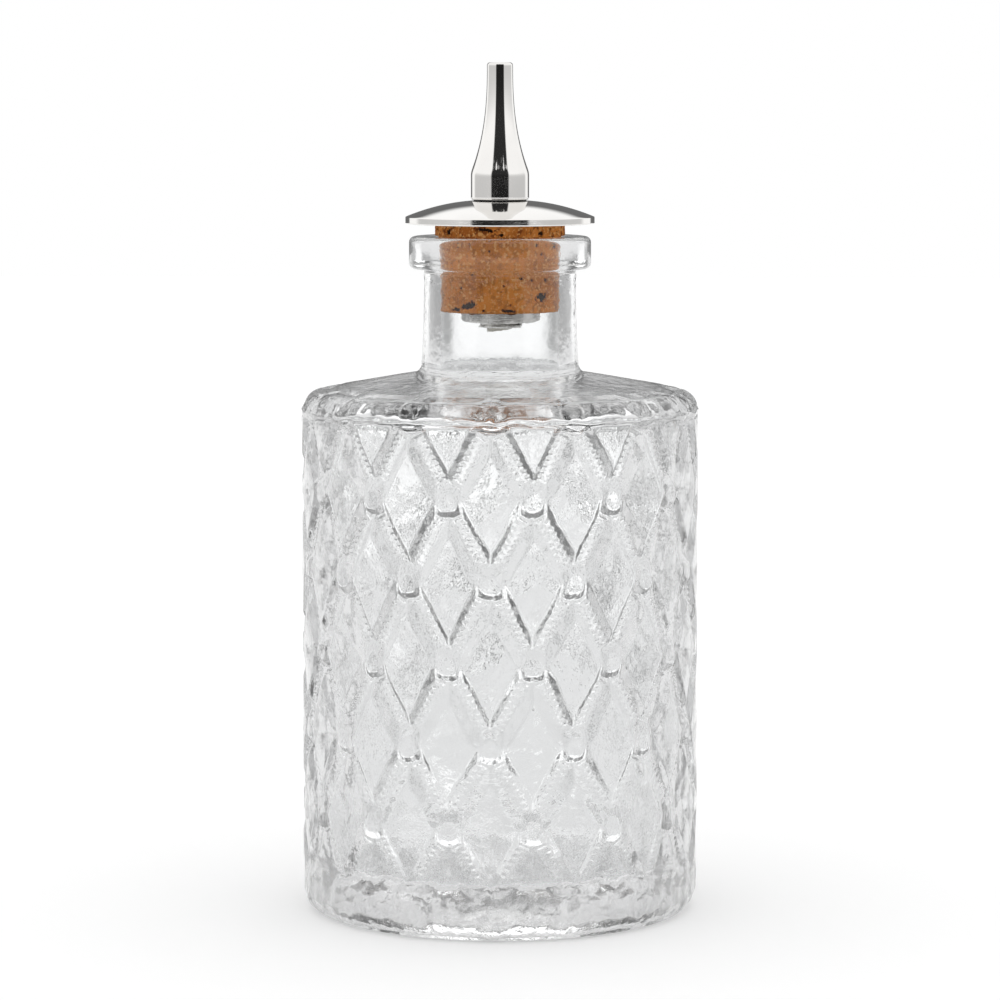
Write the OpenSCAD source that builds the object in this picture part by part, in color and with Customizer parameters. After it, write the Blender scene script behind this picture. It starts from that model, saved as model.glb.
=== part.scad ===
// Bitters bottle with a diamond pattern and a dasher stopper.
// A small thick-walled glass bottle, closed by a cork that carries a polished pouring spout.
// Origin: centre of the base, on the surface the bottle stands on. +Z runs up the bottle's axis.
// -Y is the front.

/* [Bottle] */
// Outside diameter of the glass body
body_d = 62; // [56:1:80]
// Height from the base to the top of the lip
bottle_h = 105; // [98:1:140]
// Glass thickness of the side wall
wall_t = 4; // [3:0.25:5]
// Glass thickness of the floor
floor_t = 7.5; // [5:0.5:10]
// Radius of the rounded heel
heel_r = 3.2; // [2.5:0.1:4.5]
// Radius of the rounded shoulder edge
shoulder_edge_r = 3.4; // [2.5:0.1:4.5]
// Rise of the shoulder from its edge to the neck, in degrees
shoulder_slope = 9.5; // [6:0.5:20]
// Depth of the hollow under the base
push_up = 1.2; // [0.6:0.1:2]
// Width of the flat ring that the bottle stands on
foot_w = 3.5; // [2.5:0.5:5]
// Glass thickness of the shoulder at the neck
shoulder_t = 3; // [2.5:0.25:4]

/* [Neck] */
// Height of the neck from the shoulder to the underside of the collar
neck_h = 16.2; // [14:0.2:24]
// Glass thickness of the neck under the collar
neck_wall = 2.55; // [2:0.05:3.5]
// Growth of the neck's outside diameter down to the shoulder
neck_flare = 0.9; // [0:0.1:1.5]
// Radius where the neck meets the shoulder
neck_fillet = 1.4; // [0.8:0.1:2]
// Bore of the neck, a standard cork finish
bore_d = 18.5; // [17:0.1:20]
// Widening of the bore at the lip
mouth_flare = 0.7; // [0.3:0.1:1]
// Height of the collar round the lip
collar_h = 5; // [4:0.25:7]
// Reach of the collar beyond the neck
collar_reach = 2.3; // [1.5:0.1:3]
// Rounding of the collar's edges
collar_edge_r = 0.9; // [0.5:0.1:1.4]

/* [Pattern] */
// Diamonds in one row around the body
columns = 15; // [12:1:20]
// Rows of whole diamonds
rows = 5; // [3:2:7]
// Height that the pattern rises above the grooves
relief = 0.55; // [0.3:0.05:0.7]
// Gap between neighbouring diamonds, measured round the body
diamond_gap = 3.3; // [2:0.1:4]
// Height of the boss that fills the gap between two diamonds
boss_h = 5; // [3:0.25:6]
// Plain band left under the shoulder edge and over the heel
band_h = 7.1; // [6:0.1:10]
// Depth of the pattern's top below the plain bands
band_step = 0.15; // [0.1:0.05:0.3]

/* [Cork] */
// Length of the cork
cork_l = 13.6; // [12:0.2:18]
// Length of the cork that stands out of the lip
cork_proud = 2; // [1:0.1:4]
// Growth of the cork's radius above the lip, where nothing squeezes it
cork_swell = 0.5; // [0.3:0.1:0.9]
// Gap round the cork in the bore
cork_clearance = 0.05; // [0.03:0.01:0.1]
// Gap between the cork's shoulder and the lip
seat_clearance = 0.1; // [0.05:0.05:0.2]

/* [Cap] */
// Diameter of the cap disc
cap_d = 29.3; // [26:0.1:34]
// Height of the cap's upright rim
rim_h = 1; // [0.8:0.1:2]
// Rise of the cap's crown from its rim to the spout's seat
crown_h = 2.5; // [1.5:0.1:4]

/* [Spout] */
// Height of the spout
spout_h = 21.1; // [16:0.1:28]
// Wall of the spout's barrel round the threaded tube
barrel_wall = 1; // [0.8:0.1:1.6]
// Height of the spout's barrel
barrel_h = 4.2; // [3.6:0.1:5]
// Taper of the barrel's radius down to its seat
barrel_taper = 0.3; // [0:0.05:0.4]
// Diameter of the spout's tip
tip_d = 4; // [3.6:0.1:5]
// Wall of the spout at its tip
tip_wall = 0.8; // [0.6:0.1:1.2]
// Thickness of the seal under the spout
seal_t = 0.2; // [0.1:0.05:0.6]
// Inset of the seal from the barrel's lower edge
seal_inset = 0.1; // [0.05:0.05:0.3]

/* [Stem] */
// Outside diameter of the threaded tube that runs through the cork
stem_d = 7; // [6:0.1:7.4]
// Wall of the threaded tube
stem_wall = 1; // [0.8:0.1:1.4]
// Reach of the tube past the barrel, into the foot of the sweep
thread_past = 0.4; // [0:0.1:0.6]
// Length of the tube that shows below the nut
stem_tail = 0.9; // [0.5:0.1:3]
// Gap round the tube in each hole it passes through
stem_clearance = 0.05; // [0.03:0.01:0.1]
// Metal of the nut round the tube, measured at a flat
nut_wall = 2; // [1.5:0.1:2.6]
// Height of the nut
nut_h = 1.7; // [1.4:0.1:3]
// Turn of a corner of the nut from the front towards the right, in degrees
nut_turn = 19; // [0:1:60]

/* [Restrictor] */
// Length of the plastic restrictor
insert_l = 9; // [6:0.5:12]
// Step from the tube's bore in to the nose that shows below the tube
nose_step = 0.5; // [0.2:0.1:0.8]
// Reach of the nose below the tube
nose_h = 0.7; // [0.4:0.1:2]
// Bore that lets the drops through
dash_bore = 1.6; // [1:0.1:2.4]

/* [Hidden] */
$fn = 96;
// Overrun of a cut past the face that it opens
over = 0.2;
// Steps in a drawn quarter arc
arc_steps = 8;
// Steps in a drawn gentle curve
curve_steps = 5;
// Rows' worth of height taken by the cut diamonds at the pattern's two ends
end_rows = 0.7;
// Growth of the cavity's corner radius over the heel's
cavity_rounding = 1.5;
// Rounding of the lip's inner edge
mouth_edge_r = 0.5;
// Angle at which the shoulder's edge leaves the plain band, and at which the neck's fillet ends
edge_from = 2;
fillet_to = 184;
// How fast the spout's sweep and the cap's crown fall away
sweep_power = 2.6;
crown_power = 1.6;
// Share of the barrel's height over which it swells
swell_share = 0.6;
// Share of the nut's corners that the bevel takes
nut_bevel_share = 0.6;
// Bevel of the cork's lower end, sideways and upwards
cork_bevel = [0.15, 0.4];

// Radii of the glass
body_r = body_d / 2;
bore_r = bore_d / 2;
mouth_r = bore_r + mouth_flare / 2;
neck_r = bore_r + neck_wall;
neck_foot_r = neck_r + neck_flare / 2;
collar_r = neck_r + collar_reach;
cavity_r = body_r - wall_t;
cavity_corner_r = heel_r + cavity_rounding;
throat_edge_r = shoulder_t / 2;

// Heights of the glass
collar_z = bottle_h - collar_h;
neck_foot_z = collar_z - neck_h;
fillet_cr = neck_foot_r + neck_fillet;
slope_start_r = fillet_cr - neck_fillet * sin(shoulder_slope);
slope_start_z = neck_foot_z + neck_fillet * (1 - cos(shoulder_slope));
edge_cr = body_r - shoulder_edge_r;
slope_end_r = edge_cr + shoulder_edge_r * sin(shoulder_slope);
slope_end_z = slope_start_z - (slope_end_r - slope_start_r) * tan(shoulder_slope);
edge_cz = slope_end_z - shoulder_edge_r * cos(shoulder_slope);

// Heights inside the glass: the cavity's roof runs at the shoulder's own slope
throat_cr = bore_r + throat_edge_r;
throat_z = neck_foot_z - shoulder_t + throat_edge_r;
roof_start_r = throat_cr - throat_edge_r * sin(shoulder_slope);
roof_end_r = cavity_r - cavity_corner_r * (1 - sin(shoulder_slope));
roof_drop = (roof_end_r - roof_start_r) * tan(shoulder_slope);
roof_end_z = throat_z - throat_edge_r * cos(shoulder_slope) - roof_drop;
cavity_top_cz = roof_end_z - cavity_corner_r * cos(shoulder_slope);

// The pattern: whole rows centred between the two plain bands
pattern_top = edge_cz - band_step;
pattern_bottom = band_h;
pattern_mid = (pattern_top + pattern_bottom) / 2;
row_pitch = (pattern_top - pattern_bottom) / (rows + end_rows);
column_pitch = PI * body_d / columns;
cell_w = column_pitch - diamond_gap;
cell_h = 2 * row_pitch * cell_w / column_pitch;
top_r = body_r - band_step;
groove_r = top_r - relief;
column_turn = 360 / columns;

// Widths of the stopper
cork_head_r = mouth_r + cork_swell;
barrel_r = stem_d / 2 + barrel_wall;
stem_bore_r = stem_d / 2 - stem_wall;
stem_hole_r = stem_d / 2 + stem_clearance;
tip_r = tip_d / 2;

// Heights of the stopper
cap_h = rim_h + crown_h;
thread_hold = barrel_h + thread_past;
cap_z = bottle_h + cork_proud;
cork_z = cap_z - cork_l;
seal_z = cap_z + cap_h;
spout_z = seal_z + seal_t;
nut_z = cork_z - nut_h;
stem_z = nut_z - stem_tail;
stem_top_z = spout_z + thread_hold;
insert_z = stem_z - nose_h;

function arc(cx, cz, r, from, to, steps = arc_steps) =
    [for (i = [0 : steps]) let (a = from + (to - from) * i / steps) [cx + r * cos(a), cz + r * sin(a)]];

// Radius of the spout along its sweep, from the barrel at 0 to the tip at 1
function sweep_r(t) = tip_r + (barrel_r - tip_r) * pow(1 - t, sweep_power);

// Radius of the barrel, from its seat at 0 to its widest at 1
function barrel_swell_r(t) = barrel_r - barrel_taper * pow(1 - t, 3);

// Outside radius of the neck, from its foot at 0 to the collar at 1
function neck_flare_r(t) = neck_r + (neck_foot_r - neck_r) * pow(1 - t, 2);

// Half outline of the glass, from the axis out under the base, up the outside and back down the inside
function glass_outline() = concat(
    [[0, push_up]],
    [for (i = [1 : curve_steps]) let (t = i / curve_steps)
        [(body_r - heel_r - foot_w) * t, push_up * (1 - t * t)]],
    arc(body_r - heel_r, heel_r, heel_r, -90, 0),
    [[body_r, pattern_bottom - band_step], [top_r, pattern_bottom]],
    [[top_r, pattern_top], [body_r, pattern_top + band_step]],
    arc(edge_cr, edge_cz, shoulder_edge_r, edge_from, 90 - shoulder_slope),
    arc(fillet_cr, neck_foot_z + neck_fillet, neck_fillet, 270 - shoulder_slope, fillet_to),
    [for (i = [1 : curve_steps]) let (t = i / curve_steps)
        [neck_flare_r(t), neck_foot_z + neck_fillet + (neck_h - neck_fillet) * t]],
    arc(collar_r - collar_edge_r, collar_z + collar_edge_r, collar_edge_r, -90, 0),
    arc(collar_r - collar_edge_r, bottle_h - collar_edge_r, collar_edge_r, 0, 90),
    arc(mouth_r + mouth_edge_r, bottle_h - mouth_edge_r, mouth_edge_r, 90, 180),
    [[bore_r, collar_z]],
    arc(throat_cr, throat_z, throat_edge_r, 180, 270 - shoulder_slope),
    arc(cavity_r - cavity_corner_r, cavity_top_cz, cavity_corner_r, 90 - shoulder_slope, 0),
    arc(cavity_r - cavity_corner_r, floor_t + cavity_corner_r, cavity_corner_r, 0, -90),
    [[0, floor_t]]
);

// One diamond as a prism that points out from the axis
module diamond_prism(turn, z) {
    rotate([0, 0, turn])
        translate([0, 0, z])
            rotate([90, 0, 0])
                translate([0, 0, body_r / 2])
                    linear_extrude(body_r)
                        polygon([[cell_w / 2, 0], [0, cell_h / 2], [-cell_w / 2, 0], [0, -cell_h / 2]]);
}

// One boss as a round bar that points out from the axis
module boss_bar(turn, z) {
    rotate([0, 0, turn])
        translate([0, 0, z])
            rotate([90, 0, 0])
                translate([0, 0, body_r / 2])
                    cylinder(h = body_r, d = boss_h);
}

// Every diamond of the pattern and the boss beside it, the cut ones at its top and bottom too
module diamond_chains() {
    for (row = [-(rows + 1) / 2 : (rows + 1) / 2])
        for (i = [0 : columns - 1]) {
            turn = (i + (row + rows + 1) % 2 / 2) * column_turn;
            diamond_prism(turn, pattern_mid + row * row_pitch);
            boss_bar(turn + column_turn / 2, pattern_mid + row * row_pitch);
        }
}

module pattern_ring(inner_r, low_z, high_z) {
    translate([0, 0, low_z])
        difference() {
            cylinder(h = high_z - low_z, r = body_r + over);
            translate([0, 0, -over])
                cylinder(h = high_z - low_z + 2 * over, r = inner_r);
        }
}

// Thick glass with rows of raised diamonds and a round boss between each two
module bottle() {
    color([0.86, 0.89, 0.9, 0.5])
        difference() {
            rotate_extrude()
                polygon(glass_outline());
            difference() {
                pattern_ring(groove_r, pattern_bottom + relief, pattern_top - relief);
                intersection() {
                    pattern_ring(groove_r - over, pattern_bottom + 2 * relief, pattern_top - 2 * relief);
                    diamond_chains();
                }
            }
        }
}

// Cork squeezed to the taper of the bore, with its free end standing out of the lip
module cork() {
    seat_z = bottle_h + seat_clearance;
    throat_r = bore_r - cork_clearance;
    color([0.72, 0.5, 0.32])
        difference() {
            rotate_extrude()
                polygon([
                    [0, cork_z],
                    [throat_r - cork_bevel[0], cork_z],
                    [throat_r, cork_z + cork_bevel[1]],
                    [throat_r, collar_z],
                    [mouth_r - cork_clearance, bottle_h - mouth_edge_r],
                    [mouth_r - cork_clearance, seat_z],
                    [cork_head_r, seat_z],
                    [cork_head_r, cap_z],
                    [0, cap_z]
                ]);
            translate([0, 0, cork_z - over])
                cylinder(h = cork_l + 2 * over, r = stem_hole_r);
        }
}

// Polished disc with a flat underside, an upright rim and a low crown
module cap_disc() {
    rim_r = cap_d / 2;
    edge_r = rim_h / 3;
    crown_start_r = rim_r - edge_r / 2;
    color([0.82, 0.82, 0.84])
        translate([0, 0, cap_z])
            difference() {
                rotate_extrude()
                    polygon(concat(
                        [[0, 0]],
                        arc(rim_r - edge_r, edge_r, edge_r, -90, 0, 4),
                        arc(rim_r - edge_r, rim_h - edge_r, edge_r, 0, 60, 4),
                        [for (i = [1 : arc_steps])
                            let (t = i / arc_steps)
                            [crown_start_r - (crown_start_r - barrel_r) * t,
                             rim_h + crown_h * (1 - pow(1 - t, crown_power))]],
                        [[0, cap_h]]
                    ));
                translate([0, 0, -over])
                    cylinder(h = cap_h + 2 * over, r = stem_hole_r);
            }
}

// Thin seal between the cap and the spout
module spout_seal() {
    color([0.12, 0.12, 0.13])
        translate([0, 0, seal_z])
            difference() {
                cylinder(h = seal_t, r = barrel_r - barrel_taper - seal_inset);
                translate([0, 0, -over])
                    cylinder(h = seal_t + 2 * over, r = stem_hole_r);
            }
}

// Hollow spout that screws down on the tube
module spout() {
    sweep_h = spout_h - barrel_h;
    sweep_steps = 15;
    edge_r = 0.25;
    thread_z = thread_hold + stem_clearance;
    funnel_z = barrel_h + sweep_h / 2;
    outlet_r = tip_r - tip_wall;
    color([0.82, 0.82, 0.84])
        translate([0, 0, spout_z])
            rotate_extrude()
                polygon(concat(
                    [[stem_hole_r, 0]],
                    [for (i = [0 : curve_steps])
                        let (t = i / (curve_steps + 1))
                        [barrel_swell_r(t), barrel_h * swell_share * t]],
                    [for (i = [0 : sweep_steps - 1])
                        let (t = i / sweep_steps)
                        [sweep_r(t), barrel_h + sweep_h * t]],
                    arc(tip_r - edge_r, spout_h - edge_r, edge_r, 0, 90, 4),
                    [[outlet_r, spout_h], [outlet_r, funnel_z]],
                    [[stem_bore_r, thread_z + stem_wall], [stem_bore_r, thread_z], [stem_hole_r, thread_z]]
                ));
}

// Threaded tube that ties spout, cap, cork and nut together
module stem_tube() {
    bevel = 0.3;
    color([0.75, 0.75, 0.77])
        translate([0, 0, stem_z])
            rotate_extrude()
                polygon([
                    [stem_bore_r, 0],
                    [stem_d / 2 - bevel, 0],
                    [stem_d / 2, bevel],
                    [stem_d / 2, stem_top_z - stem_z - bevel],
                    [stem_d / 2 - bevel, stem_top_z - stem_z],
                    [stem_bore_r, stem_top_z - stem_z]
                ]);
}

// Six-sided nut with its corners bevelled at top and bottom
module hex_nut() {
    flat_r = stem_d / 2 + nut_wall;
    corner_r = flat_r / cos(30);
    bevel = (corner_r - flat_r) * nut_bevel_share;
    color([0.7, 0.7, 0.72])
        translate([0, 0, nut_z])
            difference() {
                intersection() {
                    rotate([0, 0, nut_turn + 30])
                        cylinder(h = nut_h, r = corner_r, $fn = 6);
                    rotate_extrude()
                        polygon([
                            [0, 0],
                            [corner_r - bevel, 0],
                            [corner_r + over, (bevel + over) / 2],
                            [corner_r + over, nut_h - (bevel + over) / 2],
                            [corner_r - bevel, nut_h],
                            [0, nut_h]
                        ]);
                }
                translate([0, 0, -over])
                    cylinder(h = nut_h + 2 * over, r = stem_hole_r);
            }
}

// Plastic restrictor pushed up into the tube, with a nose that shows below it
module dash_insert() {
    nose_r = stem_bore_r - nose_step;
    plug_r = stem_bore_r - stem_clearance;
    nose_edge = 0.2;
    color([0.9, 0.88, 0.84])
        translate([0, 0, insert_z])
            rotate_extrude()
                polygon([
                    [dash_bore / 2, 0],
                    [nose_r - nose_edge, 0],
                    [nose_r, nose_edge],
                    [nose_r, nose_h],
                    [plug_r, nose_h],
                    [plug_r, insert_l],
                    [dash_bore / 2, insert_l]
                ]);
}

bottle();
cork();
cap_disc();
spout();
spout_seal();
stem_tube();
hex_nut();
dash_insert();
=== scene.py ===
"""The looks of a bitters bottle: pressed glass, cork, polished stopper and plain studio."""

import math

import bpy
import numpy as np
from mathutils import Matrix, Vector


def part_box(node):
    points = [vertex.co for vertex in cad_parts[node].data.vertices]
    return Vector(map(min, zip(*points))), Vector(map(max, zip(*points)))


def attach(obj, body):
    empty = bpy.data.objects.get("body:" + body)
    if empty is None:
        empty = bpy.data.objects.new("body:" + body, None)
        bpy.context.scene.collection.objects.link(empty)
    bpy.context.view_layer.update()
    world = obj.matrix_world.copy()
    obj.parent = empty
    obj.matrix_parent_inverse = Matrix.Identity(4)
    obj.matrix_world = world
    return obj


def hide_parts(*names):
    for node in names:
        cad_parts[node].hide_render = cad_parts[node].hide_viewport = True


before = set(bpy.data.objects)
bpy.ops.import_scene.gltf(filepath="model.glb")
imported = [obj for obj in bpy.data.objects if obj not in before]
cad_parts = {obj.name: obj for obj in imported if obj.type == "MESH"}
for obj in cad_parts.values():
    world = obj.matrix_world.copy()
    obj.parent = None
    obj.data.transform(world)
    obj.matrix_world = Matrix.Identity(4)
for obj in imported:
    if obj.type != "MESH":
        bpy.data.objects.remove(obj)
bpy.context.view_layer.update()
MM = 0.001


def sizes_of(node):
    """Radius, foot and top of a CAD node at rest, in millimetres."""
    low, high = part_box(node)
    return high.x / MM, low.z / MM, high.z / MM


# Sizes from the frame, in millimetres
BODY_R, _, BOTTLE_H = sizes_of("bottle")
CORK_HEAD_R, CORK_Z, CORK_TOP = sizes_of("cork")
CAP_R, CAP_Z, CAP_TOP = sizes_of("cap_disc")
BARREL_R, SPOUT_Z, SPOUT_TOP = sizes_of("spout")
SEAL_R, SEAL_Z, SEAL_TOP = sizes_of("spout_seal")
STEM_R, STEM_Z, STEM_TOP = sizes_of("stem_tube")
_, NUT_Z, NUT_TOP = sizes_of("hex_nut")
PLUG_R, INSERT_Z, INSERT_TOP = sizes_of("dash_insert")

# The glass, in millimetres; the shoulder's slope in degrees
BORE_R, MOUTH_R, LIP_EDGE = 9.25, 9.6, 0.5
CAVITY_R, FLOOR_Z = BODY_R - 4, 7.5
COLLAR_Z, COLLAR_R, COLLAR_EDGE = BOTTLE_H - 5, 14.1, 0.9
NECK_R, NECK_FOOT_R, NECK_FOOT_Z, NECK_FILLET = 11.8, 12.25, BOTTLE_H - 21.2, 1.4
SLOPE = 9.5
EDGE_R, EDGE_CZ = 3.4, 78.0
HEEL_R, PUSH_UP, FOOT_IN = 3.2, 1.2, 24.3
ROOF_CORNER, THROAT_R, THROAT_DROP = 2.0, 1.5, 3
RING_PITCH = 0.19

# The pattern, in millimetres
COLUMNS, ROW_PITCH, PATTERN_MID = 15, 12.35, 42.3
COLUMN_PITCH = 2 * math.pi * BODY_R / COLUMNS
ROWS = range(-3, 4)
PATTERN_LOW, PATTERN_HIGH = 7.1, 77.6
FADE_LOW, FADE_HIGH, EDGE_WANDER = 1.6, 0.4, 0.22
RELIEF, PILLOW = 0.97, 0.12
FAINT_LOW, FAINT_TO, FAINT_OVER = 0.55, 20, 13
DIAMOND_W, DIAMOND_H = 5.8, 10.45
BOSS_W, BOSS_UP, BOSS_DOWN = 2.4, 2.6, 3.0
MERGE_W, MERGE_FILL = 1.2, 0.6
WALL_BELOW, WALL_ABOVE, WALL_ROUND = 1.15, 1.75, 0.13
TICK_PITCH, TICK_LENGTH, TICK_UPPER = 1.05, 0.7, 0.6
TICK_CUT, TICK_SOFT = 0.35, 0.6
# How far outside the wall's foot the ticks start and end, and over what width
TICKS_START, TICKS_END = (0.8, 0.4), (0.04, 0.1)
# Depth and length of the pattern's slow and fine warps
WARP_SLOW, WARP_FINE = (0.16, 9), (0.05, 2.2)

# The bands of knots at the shoulder and the heel, in millimetres
KNOTS_OVER_RIB, KNOTS_UNDER_HEEL = 2.5, 2.3
KNOT_W, KNOT_H, KNOT_RIM, KNOT_RISE = 1.6, 2.3, 0.8, 0.13
PANEL_W, PANEL_H, PANEL_RIM, PANEL_DEPTH, PANEL_FLARE = 4.4, 1.9, 0.9, 0.11, 0.08
BAND_ROUND = 0.3
HEEL_BAND_IN, SHOULDER_BAND_IN, UNDER_PATTERN = 0.2, 0.16, 0.06
RIB_OUT, RIB_RISE, RIB_HALF = 0.6, 0.13, 0.33
# Depth and length of the shards at the heel
SHARDS, FINE_SHARDS = (0.09, 3.2), (0.04, 1.6)

# The plain glass: ribs under the base, and the depth and length of each waviness
SUNBURST, SUNBURST_DEPTH, SUNBURST_SWAY = 45, 0.32, 1.2
BASE_WAVES, SHOULDER_WAVES, OUTER_WAVES = (0.07, 3.5), (0.03, 2.2), (0.04, 14)
INNER_WAVES, INNER_FINE_WAVES = (0.1, 16), (0.1, 6)

# The stopper, in millimetres; the nut's turn in degrees
STEM_HOLE_R = STEM_R + 0.05
STEM_BORE_R, STEM_BEVEL = PLUG_R + 0.05, 0.15
THREAD_PITCH, THREAD_DEPTH, THREAD_FADE = 1.0, 0.42, 0.35
NUT_FLAT_R, NUT_HOLE_BEVEL, NUT_TURN = STEM_R + 2, 0.3, 19
DASH_R, NOSE_R, NOSE_SLANT = 0.8, PLUG_R - 0.45, 0.45
INSERT_EDGE, INSERT_ROUND, INSERT_GAP = 0.12, 0.2, 0.02
RIM_H, RIM_EDGE, CROWN_BULGE = 1.05, 0.1, 0.7
BARREL_H, BARREL_TAPER, BARREL_EDGE, SWELL_SHARE = 4.2, 0.1, 0.12, 0.1
SPOUT_STEP, SHOULDER_ROUND = 0.1, 8
SWEEP_POWER, TIP_R, TIP_EDGE, OUTLET_R = 2.6, 2.0, 0.45, 1.2
CORK_GAP, CORK_END_GAP, SEAT_GAP = 0.05, 0.02, 0.1
CORK_BEVEL, CORK_EDGE, CORK_ROUGH, PIT_DEPTH = 0.4, 0.12, 0.05, 0.4

# The larger pits on the cork's front, listed one by one: degrees from the front, height, half width,
# half height, slant
FRONT_PITS = (
    (-50, 105.9, 0.65, 0.55, 0.2), (-10, 106.3, 1.5, 0.3, -0.12), (4, 105.5, 0.4, 0.25, 0),
    (42, 105.7, 0.6, 0.35, 0), (-6, 103.0, 0.2, 0.2, 0), (48, 98.5, 0.35, 0.4, 0),
    (61, 97.8, 0.3, 0.6, 0.8), (43, 95.9, 1.0, 0.85, 0.1), (-69, 98.2, 0.4, 0.45, 0),
    (-27, 94.7, 1.25, 0.6, 0.25), (-40, 94.0, 0.8, 0.35, 0), (11, 93.8, 1.1, 0.4, -0.1),
    (55, 103.6, 0.6, 0.3, 0.2), (66, 94.0, 0.5, 0.5, 0),
)
SMALL_PITS, SPECK_PITS = 46, 60

# Colours, linear
GLASS_TINT, GLASS_IOR = (0.965, 0.97, 0.972, 1), 1.5
CORK_TAN, CORK_DARK, CORK_BROWN = (0.72, 0.25, 0.05), (0.5, 0.15, 0.024), (0.26, 0.07, 0.012)
CORK_PALE, CORK_PIT = (0.86, 0.45, 0.16), (0.035, 0.016, 0.008)
# Painted light on the cork inside the glass: the lighter colour, its share, and the share of flecks kept
# there
CORK_PAINTED_LIGHT_COLOUR, CORK_PAINTED_LIGHT_SHARE, CORK_FLECKED = (0.85, 0.3, 0.02), 0.35, 0.42
CHROME_LOW, CHROME_HIGH = (0.78, 0.77, 0.75), (0.83, 0.815, 0.795)
STEEL_LOW, STEEL_HIGH = (0.5, 0.49, 0.47), (0.86, 0.85, 0.83)
RUBBER_LOW, RUBBER_HIGH = (0.012, 0.012, 0.013), (0.03, 0.03, 0.03)
PLASTIC_LOW, PLASTIC_HIGH = (0.74, 0.7, 0.62), (0.86, 0.83, 0.76)

# Heights in metres: where the cork leaves the glass, where the glass's crinkles fade at the
# shoulder, and where they grow at the heel, with the values below and above
CORK_LEAVES = (0.1035, 0.1055)
CRINKLES_FADE, CRINKLES_GROW = (0.0755, 0.0785, 1, 0.3), (0.003, 0.01, 2.2, 1)

# The camera: degrees, pixels and millimetres
CAMERA_TURN, CAMERA_PITCH, CAMERA_PX = 2.7, 6.0, 4000
PHOTO_PX, PX_PER_MM, AIM_Z = 1000, 6.408, 63.9
SENSOR_W = 36

# The floor, in metres
FLOOR_REACH = 2.0
FLOOR_GLOW, FLOOR_GREY, FAR_SIDES = 0.3, 0.75, 0.32
FLOOR_BEHIND, FLOOR_SIDES = (-0.995, -0.93), (0.5, 0.8)
# The share of the floor's glow that shows in glass: from a distance to a distance, and the share
# at each
FLOOR_NEAR, FLOOR_FAR = (0.03, 0.05, 1.5, 0.24), (0.28, 0.8, 0, 1.05)

# The surround that metal reflects. The ranges are of how far a direction points to the front (1) or
# behind (-1), or of its height from level (0) to straight up (1)
METAL_WHITE, METAL_SIDES = 1.14, 0.68
METAL_BEHIND, METAL_RISE = (-0.6, -0.4), (-0.05, 0.26, 1.0, 1.65)
GAP_FRONT, GAP_TOP, GAP_DARK, GAP_RAGGED = (0.79, 0.85), (0.58, 0.66), 0.975, 0.08
LINE_BEHIND, LINE_TOP, LINE_FOOT, LINE_DARK = (-0.85, -0.78), (0.34, 0.48), (-0.25, -0.15), 0.86

# The surround that shows through the glass, in the same ranges
GLASS_BACK, GLASS_SIDES = 1.4, 0.8
GLASS_BEHIND, GLASS_FORWARD = (-0.97, -0.85), (-0.6, 0.2, 1.0, 0.75)
ABOVE_FOOT, ABOVE_TOP, ABOVE_BEHIND, ABOVE_DARK = (0.12, 0.22), (0.42, 0.6), (-0.85, -0.6), 0.9
ABOVE_LOWER_SIDEWAYS = (-0.995, -0.88, 0, 0.25)
CAMERA_SIDE, CAMERA_SIDE_DARK = (0.75, 0.9), 0.6


def smooth(x):
    """0 below 0, 1 above 1 and smooth between."""
    x = np.clip(x, 0, 1)
    return x * x * (3 - 2 * x)


def ramp(x, rounding):
    """0 below 0, 1 above 1, straight between, with short rounded ends."""
    x = np.clip(x, -rounding, 1 + rounding)
    low = np.where(x < rounding, (x + rounding) ** 2 / (4 * rounding), x)
    over = x - (1 - rounding)
    return np.where(over > 0, 1 - rounding + over - over**2 / (4 * rounding), low)


def waves(seed, turn, up, size, count=14):
    """Smooth noise round the bottle, about -1 to 1, with lumps of about size millimetres."""
    rng = np.random.default_rng(seed)
    total = np.zeros(np.broadcast(turn, up).shape)
    for _ in range(count):
        direction = rng.uniform(0, 2 * math.pi)
        length = size * rng.uniform(0.7, 1.6)
        lumps = round(2 * math.pi * BODY_R / length * math.cos(direction))
        rise = 2 * math.pi / length * math.sin(direction)
        total = total + np.sin(lumps * turn + rise * up + rng.uniform(0, 2 * math.pi))
    return total / math.sqrt(count / 2) * 0.6


def waved(seed, turn, up, depth_and_size):
    """Waves of a given depth and length, in millimetres."""
    depth, size = depth_and_size
    return depth * waves(seed, turn, up, size)


def arc(cx, cz, r, start, end, steps):
    """Points of an arc in the half plane of the outline, from one angle to another in degrees."""
    angles = np.radians(np.linspace(start, end, steps + 1))
    return [(cx + r * math.cos(a), cz + r * math.sin(a)) for a in angles]


def straight(start, end, count):
    """Points on a straight line between two points, without its ends."""
    radii, heights = (np.linspace(a, b, count) for a, b in zip(start, end))
    return list(zip(radii, heights))[1:-1]


def turns(count):
    """The angles of a ring's corners."""
    return np.arange(count) * 2 * math.pi / count


def new_object(name, vertices, faces):
    """A smooth mesh object from points in millimetres."""
    mesh = bpy.data.meshes.new(name)
    mesh.from_pydata((np.asarray(vertices) * MM).tolist(), [], faces)
    mesh.update()
    mesh.polygons.foreach_set("use_smooth", [True] * len(mesh.polygons))
    obj = bpy.data.objects.new(name, mesh)
    bpy.context.scene.collection.objects.link(obj)
    return obj


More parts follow.
